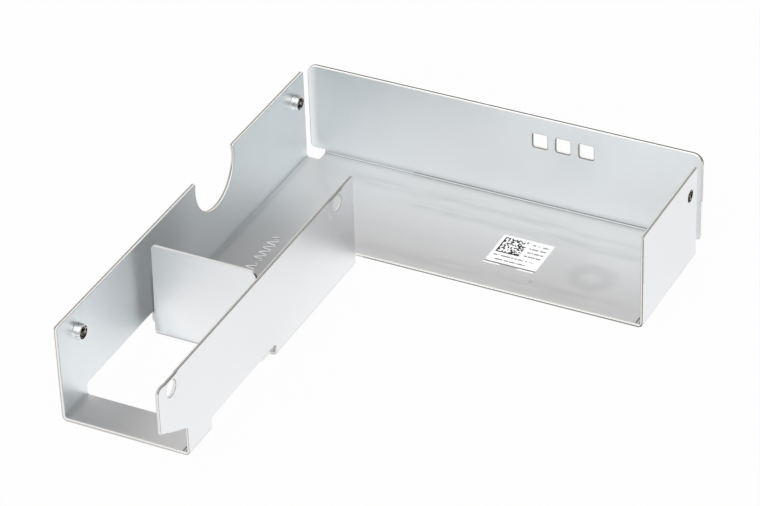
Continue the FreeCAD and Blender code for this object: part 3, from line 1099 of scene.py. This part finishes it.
    def map_blank(self, mesh: Mesh, folds: list[Fold]) -> None:
        """Give the mesh two UV maps.

        Map blank is the place on the flat sheet before folding. Map cut holds
        the depth below the sheet's outer face, in thicknesses, and the number of
        the face's area.

        Args:
            mesh: the finished sheet.
            folds: the folds it was made with.
        """
        zero = self.zero()
        places = vectors(mesh.vertices, "co")
        flat, depth = self.unroll(places - zero, folds)
        centres = vectors(mesh.polygons, "center") - zero
        normals = np.abs(vectors(mesh.polygons, "normal"))
        through = normals[:, 2] < 0.5
        free = np.ones(len(centres), bool)
        for fold in folds:
            held = free & fold.holds(centres)
            rounded = centres[:, 2] < fold.outer_radius
            along, across = normals[:, 1 - fold.axis], normals[:, fold.axis]
            edge_on = np.where(rounded, along > 0.5, across < 0.5)
            through = np.where(held, edge_on, through)
            free &= ~held
            log.info("%s: %d faces", fold.wall.value, int(held.sum()))

        rim = numbers(mesh.attributes["rim"].data, "value")
        mesh.attributes.remove(mesh.attributes["rim"])
        corners = numbers(mesh.loops, "vertex_index")
        sizes = numbers(mesh.polygons, "loop_total")
        near = np.zeros(len(places), bool)
        for bore in self.bores():
            near |= bore.holds(places, self.collar_reach, self.collar_radius)
        collar = np.logical_and.reduceat(near[corners], np.cumsum(sizes) - sizes)
        cut = through | (rim == 1)
        areas = [area.value for area in (Area.COLLAR, Area.FLOOR_CUT, Area.WALL_CUT, Area.FLOOR)]
        kind = np.select([collar, cut & free, cut, free], areas, Area.WALL.value)

        mesh.uv_layers.new(name="blank").uv.foreach_set("vector", flat[corners].ravel())
        both = np.stack([np.clip(depth[corners], 0.0, 1.0), np.repeat(kind, sizes)], axis=1)
        mesh.uv_layers.new(name="cut").uv.foreach_set("vector", both.ravel())


@dataclass(frozen=True)
class PaperFinish:
    """Smooth white label paper with a generic dark print, placed by shares of the label's sides."""

    paper: Colour = srgb(253, 253, 253)
    ink: Colour = srgb(24, 25, 29)
    cells: tuple[int, int] = (17, 15)
    code_across: Pair = (0.06, 0.52)
    code_up: Pair = (0.36, 0.93)
    code_share: float = 0.5
    code_seeds: Point = (7.31, 113.7, 3.3)
    dash_rows: tuple[Point, ...] = (
        *((0.60, 0.95, 0.86 - 0.145 * i) for i in range(4)), (0.07, 0.86, 0.25), (0.13, 0.74, 0.10))
    dash_half: float = 0.022
    dash_count: float = 60.0
    dash_gaps: float = 0.22
    dash_depth: float = 0.75
    dash_seeds: Pair = (3.17, 41.9)
    roughness: float = 0.5
    # Strength of the paper's painted glow.
    paper_glow: float = 0.30
    fibre_size: float = 0.2 * MM
    fibre_rough: float = 0.2
    fibre_height: float = 2 * MICRON

    def material(self) -> Material:
        """Wire the finish, which reads the UV map face, from 0 to 1 over the label.

        The paper also glows faintly in its own colour, a painted light that makes
        it brighter than the light falling on it.
        """
        material, graph = new_material("label_print")
        fibre = graph.noise(graph.place(), self.fibre_size, 3.0)
        colour = graph.mix(self.paper, (self.code(graph) + self.rows(graph), self.ink))
        graph.principled({
            "Base Color": colour, "Roughness": self.roughness + self.fibre_rough * fibre,
            "Normal": graph.bump(fibre * self.fibre_height),
            "Emission Color": colour, "Emission Strength": self.paper_glow})
        return material

    def code(self, graph: Graph) -> Field:
        """A patch of random cells, dark along its left and lower sides, that encodes nothing."""
        u, v, _ = graph.split(graph.uv("face"))
        sides = zip((u, v), (self.code_across, self.code_up), self.cells)
        across, up = [((part - low) * (count / (high - low))).floor()
                      for part, (low, high), count in sides]
        step_across, step_up, first = self.code_seeds
        random = graph.chance(across * step_across + up * step_up + first)
        dark = graph.most(random < self.code_share, across < 0.5, up < 0.5)
        return dark * u.within(self.code_across) * v.within(self.code_up)

    def rows(self, graph: Graph) -> Field:
        """Rows of short plain dashes, four beside the patch and two below it."""
        u, v, _ = graph.split(graph.uv("face"))
        column = (u * self.dash_count).floor()
        rows = []
        for number, (left, right, height) in enumerate(self.dash_rows, start=1):
            random = graph.chance(column * self.dash_seeds[0] + self.dash_seeds[1] * number)
            band = (height - self.dash_half, height + self.dash_half)
            row = u.within((left, right)) * v.within(band) * (random > self.dash_gaps)
            rows.append(row * self.dash_depth)
        return sum(rows)


@dataclass
class PaperLabel:
    """The printed label on the tray's floor, with two slips of an older one under it."""

    corner: float = 0.25 * MM
    corner_steps: int = 6
    edge_round: float = 0.02 * MM
    edge_share: float = 0.3
    slip_thickness: float = 0.03 * MM
    slip_depth: float = 0.42 * MM
    slip_gap: float = 0.48 * MM
    slip_spans: tuple[Pair, ...] = ((-0.3 * MM, 3.9 * MM), (8.3 * MM, 12.5 * MM))
    finish: PaperFinish = PaperFinish()

    def build(self) -> Object:
        """Make the label and its slips.

        Returns:
            The piece that stands for the CAD node label.
        """
        low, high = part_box("label")
        points, faces = self.slab(np.array(low), np.array(high), self.corner)
        for left, right in self.slip_spans:
            front = low.y - self.slip_gap - self.slip_depth
            slip_low = np.array([low.x + left, front, low.z])
            slip_high = np.array([low.x + right, front + self.slip_depth,
                                  low.z + self.slip_thickness])
            more, more_faces = self.slab(slip_low, slip_high, self.slip_depth / 4)
            faces += [[len(points) + corner for corner in face] for face in more_faces]
            points = np.vstack([points, more])
        mesh = bpy.data.meshes.new("paper_label")
        mesh.from_pydata(points, [], faces)
        shares = (points[:, :2] - np.array(low)[:2]) / np.array(high - low)[:2]
        face_map = shares[numbers(mesh.loops, "vertex_index")]
        mesh.uv_layers.new(name="face").uv.foreach_set("vector", face_map.ravel())
        piece = show(mesh, "paper_label", self.finish.material())
        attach(piece, BODY)
        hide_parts("label")
        log.info("paper label: %d faces", len(mesh.polygons))
        return piece

    def slab(self, low: Array, high: Array, corner: float) -> tuple[Array, list[list[int]]]:
        """A thin slab with rounded corners in plan and a rounded top edge.

        The outline is a quarter circle about each corner's centre in turn. It is
        carried up the side and in over the top edge, and both ends are closed.

        Args:
            low: the slab's lowest corner.
            high: the slab's highest corner.
            corner: the radius of its corners in plan.

        Returns:
            The slab's points and its faces.
        """
        quarter = np.arange(4).repeat(self.corner_steps + 1)
        step = np.tile(np.arange(self.corner_steps + 1), 4)
        angle = (quarter + step / self.corner_steps) * math.pi / 2
        right = np.isin(quarter, (0, 3))
        back = np.isin(quarter, (0, 1))
        centre = np.stack([np.where(right, high[0] - corner, low[0] + corner),
                           np.where(back, high[1] - corner, low[1] + corner)], axis=1)
        way = np.stack([np.cos(angle), np.sin(angle)], axis=1)
        thickness = high[2] - low[2]
        edge = min(self.edge_round, thickness / 2, corner / 2)
        share = self.edge_share * edge
        levels = np.array([[0.0, 0.0], [0.0, thickness - edge],
                           [share, thickness - share], [edge, thickness]])
        radius = corner - levels[:, :1, None]
        plan = centre[None] + way[None] * radius
        height = np.broadcast_to(low[2] + levels[:, 1, None, None], (len(levels), len(angle), 1))
        points = np.concatenate([plan, height], axis=2).reshape(-1, 3)
        columns = len(angle)
        faces = ring_faces(len(levels), columns).tolist()
        faces.append(list(range(columns - 1, -1, -1)))
        faces.append(list(range((len(levels) - 1) * columns, len(levels) * columns)))
        return points, faces


@dataclass(frozen=True)
class Glow:
    """One broad soft light far away. Azimuth is 0 behind the object and 90 on its right."""

    azimuth: float
    elevation: float
    strength: float

    def way(self) -> Point:
        """Unit vector from the object to the light."""
        turn, rise = math.radians(self.azimuth), math.radians(self.elevation)
        return (math.sin(turn) * math.cos(rise), math.cos(turn) * math.cos(rise), math.sin(rise))


@dataclass
class Studio:
    """Plain pale floor and backdrop under broad soft lights, the largest in front and above."""

    floor_half: float = 1.6
    floor_drop: float = 0.05 * MM
    floor_colour: Colour = srgb(247, 247, 247)
    seen_white: float = 0.96
    mirrored_white: float = 0.98
    focus: float = 5.0
    glows: tuple[Glow, ...] = (
        Glow(0, 8, 0.25),
        Glow(225, 8, 0.24),
        Glow(270, 8, 0.04),
        Glow(315, 8, 0.52),
        Glow(112.5, 38, 0.56),
        Glow(157.5, 38, 0.44),
        Glow(202.5, 38, 0.30),
        Glow(337.5, 38, 0.42),
        Glow(90, 66, 0.20),
        Glow(180, 66, 1.35),
    )

    def build(self) -> None:
        """Make the floor and the lights around it."""
        self.floor()
        self.surround()
        bpy.context.scene.view_settings.view_transform = "Standard"
        log.info("studio ready")

    def floor(self) -> None:
        """Lay a floor that looks white to the camera and keeps the object's soft shadow."""
        material, graph = new_material("studio_floor")
        mirrored = graph.most(graph.ray("Glossy"), graph.ray("Transmission"))
        share = graph.most(graph.ray("Camera") * self.seen_white, mirrored * self.mirrored_white)
        matt = graph.node("ShaderNodeBsdfDiffuse", None, {"Color": self.floor_colour})
        white = graph.node("ShaderNodeEmission", None, {"Color": WHITE, "Strength": 1.0})
        shaders = {0: share, 1: matt.outputs[0], 2: white.outputs[0]}
        mixed = graph.node("ShaderNodeMixShader", None, shaders)
        graph.node("ShaderNodeOutputMaterial", None, {"Surface": mixed.outputs[0]})
        side = np.array([-self.floor_half, self.floor_half])
        x, y = np.meshgrid(side, side)
        grid = np.stack([x.ravel(), y.ravel(), np.full(4, -self.floor_drop)], axis=1)
        mesh = bpy.data.meshes.new("studio_floor")
        mesh.from_pydata(grid, [], [[0, 1, 3, 2]])
        show(mesh, "studio_floor", material)

    def surround(self) -> None:
        """White to the camera; to all else the sum of the glows, each a power of the cosine."""
        world = bpy.data.worlds.new("studio")
        bpy.context.scene.world = world
        world.use_nodes = True
        graph = Graph(world.node_tree)
        way = graph.node("ShaderNodeTexCoord").outputs["Generated"]
        level = 0.0
        for glow in self.glows:
            cosine = graph.value("ShaderNodeVectorMath", "Value", {"operation": "DOT_PRODUCT"},
                                 {0: way, 1: glow.way()})
            level = level + glow.strength * graph.most(cosine, 0.0) ** self.focus
        seen = graph.ray("Camera")
        inputs = {"Color": WHITE, "Strength": seen + (1 - seen) * level}
        light = graph.node("ShaderNodeBackground", None, inputs)
        graph.node("ShaderNodeOutputWorld", None, {"Surface": light.outputs[0]})


@dataclass
class Viewpoint:
    """The photograph's camera, found by fitting the bracket's corners."""

    azimuth: float = math.radians(27.519)
    elevation: float = math.radians(34.214)
    roll: float = math.radians(-2.116)
    distance: float = 797.949 * MM
    aim: Point = (-4.6876 * MM, 9.6102 * MM, 16.9865 * MM)
    focal_pixels: float = 3588.414
    image_width: int = 760
    sensor_width: float = 36.0

    def build(self) -> None:
        """Make the camera and look through it."""
        camera = bpy.data.cameras.new("camera")
        camera.sensor_fit = "HORIZONTAL"
        camera.sensor_width = self.sensor_width
        camera.lens = self.focal_pixels * self.sensor_width / self.image_width
        level = Vector((math.cos(self.azimuth), math.sin(self.azimuth), 0.0))
        flat = math.cos(self.elevation)
        ahead = Vector((-math.sin(self.azimuth) * flat, math.cos(self.azimuth) * flat,
                        -math.sin(self.elevation)))
        upright = level.cross(ahead)
        right = math.cos(self.roll) * level + math.sin(self.roll) * upright
        up = math.cos(self.roll) * upright - math.sin(self.roll) * level
        turn = Matrix((right, up, -ahead)).transposed().to_4x4()
        viewer = bpy.data.objects.new("camera", camera)
        viewer.matrix_world = Matrix.Translation(Vector(self.aim) - self.distance * ahead) @ turn
        bpy.context.scene.collection.objects.link(viewer)
        bpy.context.scene.camera = viewer
        log.info("camera: lens %.1f mm", camera.lens)


def clear_startup() -> None:
    """Remove what Blender's startup file brings, and keep the frame's objects."""
    kept = set(frame["nodes"].values()) | set(frame["bodies"].values())
    for thing in list(bpy.data.objects):
        if thing not in kept:
            bpy.data.objects.remove(thing)


def main() -> None:
    """Build every part of the scene in order, and note the sizes."""
    logging.basicConfig(level=logging.INFO, format="%(name)s: %(message)s")
    clear_startup()
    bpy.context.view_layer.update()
    Viewpoint().build()
    FoldedSheet().build()
    PaperLabel().build()
    Studio().build()


if __name__ == "__main__":
    main()
